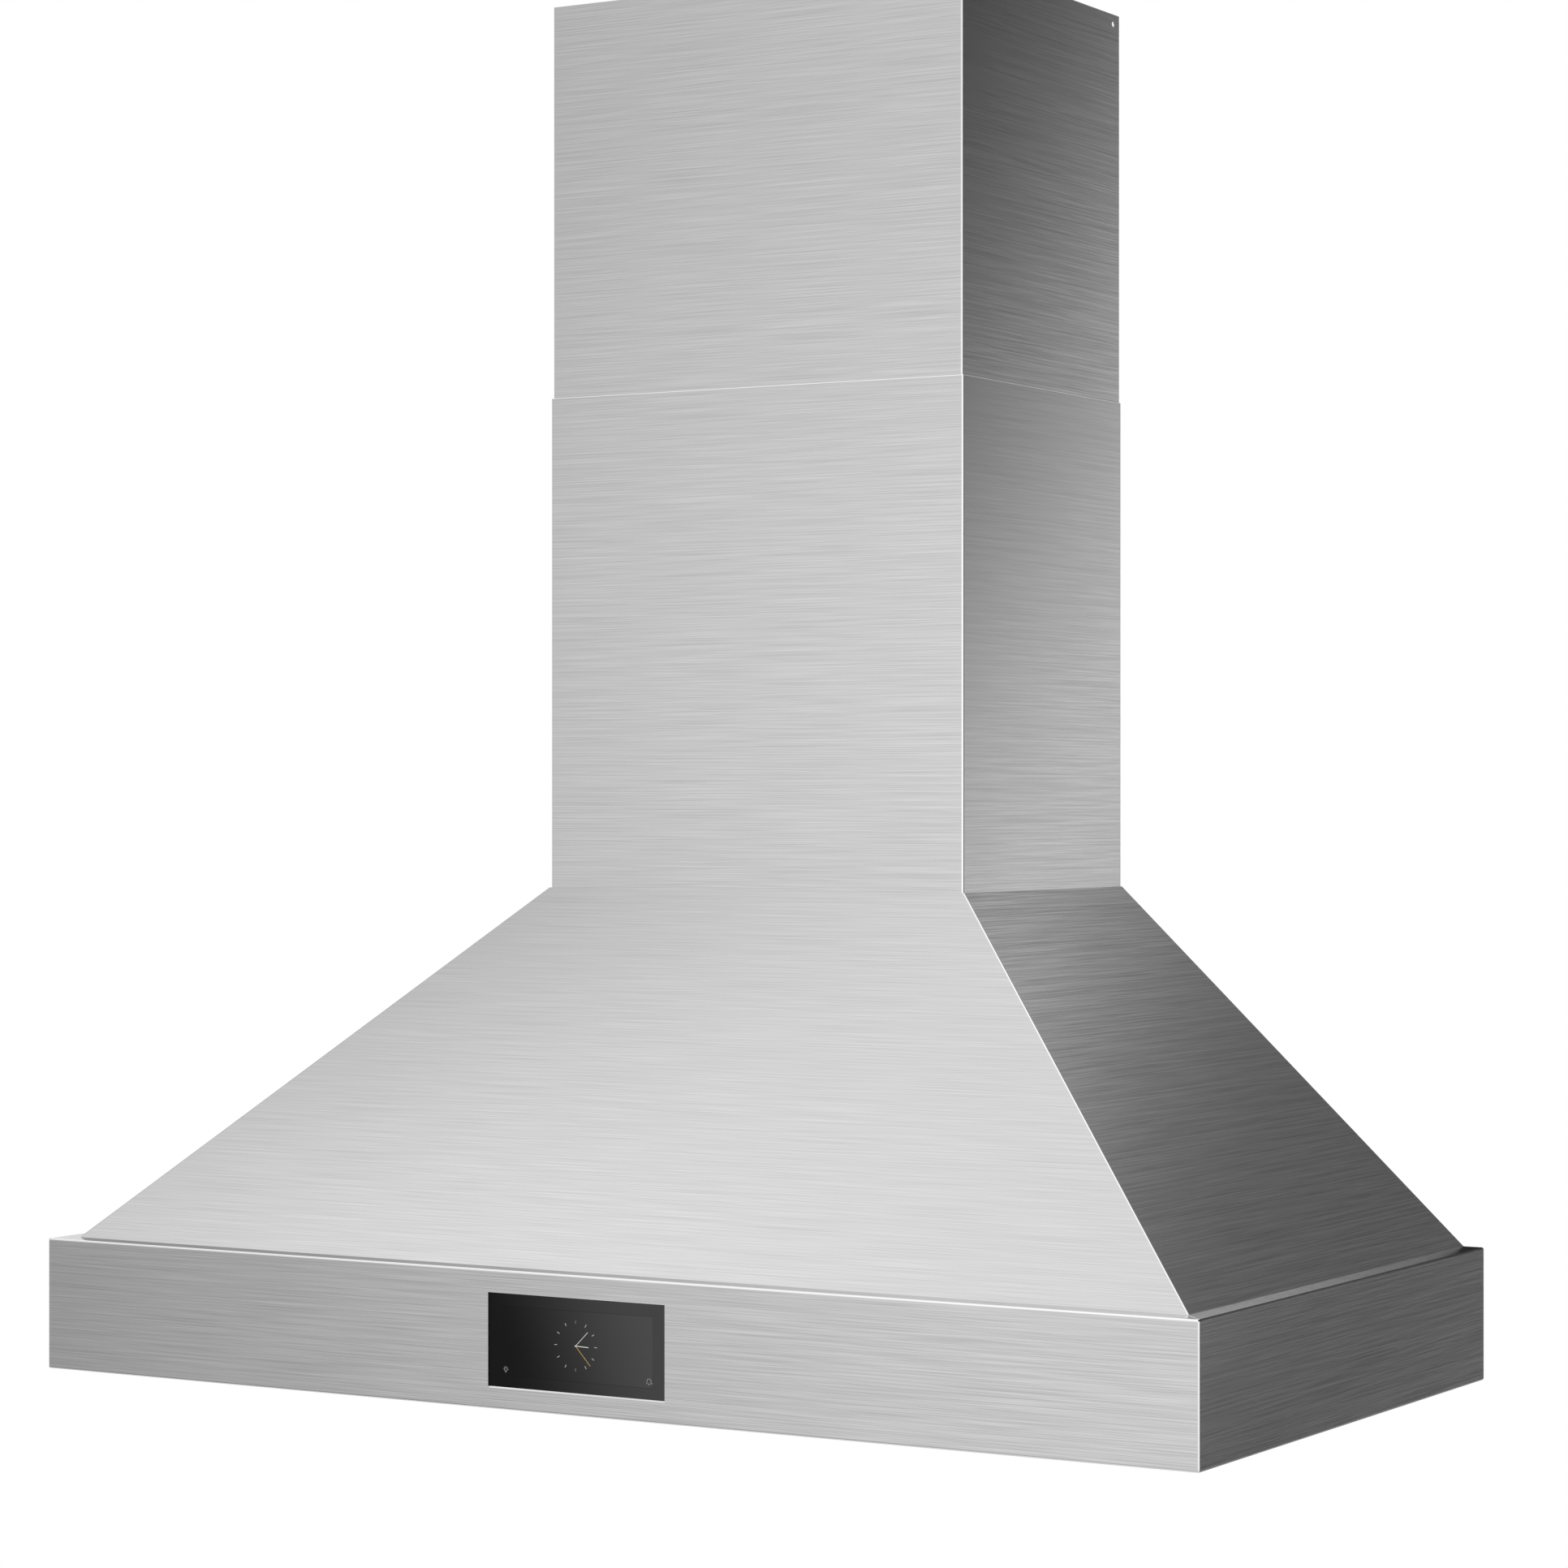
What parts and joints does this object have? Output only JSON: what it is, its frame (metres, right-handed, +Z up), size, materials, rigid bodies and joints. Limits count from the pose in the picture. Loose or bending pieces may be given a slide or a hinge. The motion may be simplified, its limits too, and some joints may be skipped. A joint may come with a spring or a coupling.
{
  "type": "wall chimney range hood",
  "caption": "Wall range hood with a deep rim, sloping canopy, telescoping duct cover, touch display, lamps, hinged baffle filters, blower and backdraft damper.",
  "frame": {"origin": "middle of the hood's footprint, level with the bottom of the rim", "axes": "+X to the right seen from the front, +Y towards the wall, +Z up"},
  "size_m": [1.2192, 0.6294, 1.3238],
  "materials": {
    "outer_steel": "fine horizontal brushed grain, satin",
    "inner_steel": "brushed, slightly duller than the outside",
    "filter_steel": "brushed, polished edges",
    "galvanised": "galvanised sheet, faint spangle",
    "bright_steel": "bright drawn steel",
    "spring_steel": "plain spring steel",
    "black_glass": "dark tempered glass",
    "black_plastic": "moulded, fine grain",
    "lcd": "display panel with a metal frame",
    "board_green": "lacquered circuit board",
    "lamp_metal": "die cast, matt",
    "lamp_ring": "satin chrome",
    "lamp_lens": "frosted glass",
    "lamp_board": "white solder mask",
    "motor_paint": "black enamel",
    "wheel_steel": "zinc plated pressed steel",
    "rubber": "moulded rubber",
    "zinc": "zinc plated"
  },
  "bodies": {
    "hood": {"rim_band": "outer_steel", "canopy_front": "outer_steel", "canopy_side_left": "outer_steel", "canopy_side_right": "outer_steel", "back_panel": "inner_steel", "crown_plate": "inner_steel", "cover_cleats": "galvanised", "lower_cover": "outer_steel", "underside_pan": "inner_steel", "filter_bay": "inner_steel", "filter_rails": "inner_steel", "filter_springs": "spring_steel", "tray_clips": "spring_steel", "display_seal": "rubber", "display_glass": "black_glass", "display_panel": "lcd", "display_housing": "black_plastic", "control_board": "board_green", "lamp_bodies": "lamp_metal", "lamp_rings": "lamp_ring", "lamp_lenses": "lamp_lens", "lamp_boards": "lamp_board", "scroll_wrapper": "galvanised", "scroll_sides": "galvanised", "blower_inlets": "galvanised", "blower_motor": "motor_paint", "motor_bracket": "galvanised", "duct_collar": "galvanised", "damper_seat": "rubber", "damper_rod": "bright_steel", "power_box": "galvanised", "power_box_lid": "galvanised", "junction_box": "galvanised", "junction_box_lid": "galvanised", "supply_grommet": "rubber", "collar_screws": "zinc", "lid_screws": "zinc", "pan_screws": "zinc", "display_studs": "zinc", "motor_capacitor": "bright_steel", "power_board": "board_green"},
    "upper_cover": {"upper_cover": "outer_steel"},
    "blower_rotor": {"blower_wheel": "wheel_steel", "motor_shaft": "bright_steel"},
    "damper_front": {"damper_flap_front": "galvanised"},
    "damper_back": {"damper_flap_back": "galvanised"},
    "grease_tray": {"grease_tray": "inner_steel"},
    "filter_1": {"filter_frame_1": "filter_steel", "filter_baffles_1": "filter_steel", "filter_handle_1": "bright_steel"},
    "filter_2": {"filter_frame_2": "filter_steel", "filter_baffles_2": "filter_steel", "filter_handle_2": "bright_steel"},
    "filter_3": {"filter_frame_3": "filter_steel", "filter_baffles_3": "filter_steel", "filter_handle_3": "bright_steel"},
    "filter_4": {"filter_frame_4": "filter_steel", "filter_baffles_4": "filter_steel", "filter_handle_4": "bright_steel"}
  },
  "joints": [
    {"name": "upper_cover_slide", "type": "slide", "parent": "hood", "child": "upper_cover", "axis": [0, 0, 1], "range_m": [-0.355, 0.045]},
    {"name": "wheel_spin", "type": "hinge", "parent": "hood", "child": "blower_rotor", "pos_m": [0, 0.0536, 0.3006], "axis": [1, 0, 0], "continuous": true},
    {"name": "damper_back_lift", "type": "hinge", "parent": "hood", "child": "damper_back", "pos_m": [0, 0.1506, 0.4876], "axis": [1, 0, 0], "range_deg": [0, 78]},
    {"name": "damper_front_lift", "type": "hinge", "parent": "hood", "child": "damper_front", "pos_m": [0, 0.1506, 0.4876], "axis": [-1, 0, 0], "range_deg": [0, 78]},
    {"name": "grease_tray_drop", "type": "slide", "parent": "hood", "child": "grease_tray", "axis": [0, 0, -1], "range_m": [0, 0.08]},
    {"name": "filter_1_drop", "type": "hinge", "parent": "hood", "child": "filter_1", "pos_m": [-0.4173, 0.20655, 0.047], "axis": [1, 0, 0], "range_deg": [0, 60]},
    {"name": "filter_2_drop", "type": "hinge", "parent": "hood", "child": "filter_2", "pos_m": [-0.1391, 0.20655, 0.047], "axis": [1, 0, 0], "range_deg": [0, 60]},
    {"name": "filter_3_drop", "type": "hinge", "parent": "hood", "child": "filter_3", "pos_m": [0.1391, 0.20655, 0.047], "axis": [1, 0, 0], "range_deg": [0, 60]},
    {"name": "filter_4_drop", "type": "hinge", "parent": "hood", "child": "filter_4", "pos_m": [0.4173, 0.20655, 0.047], "axis": [1, 0, 0], "range_deg": [0, 60]}
  ]
}
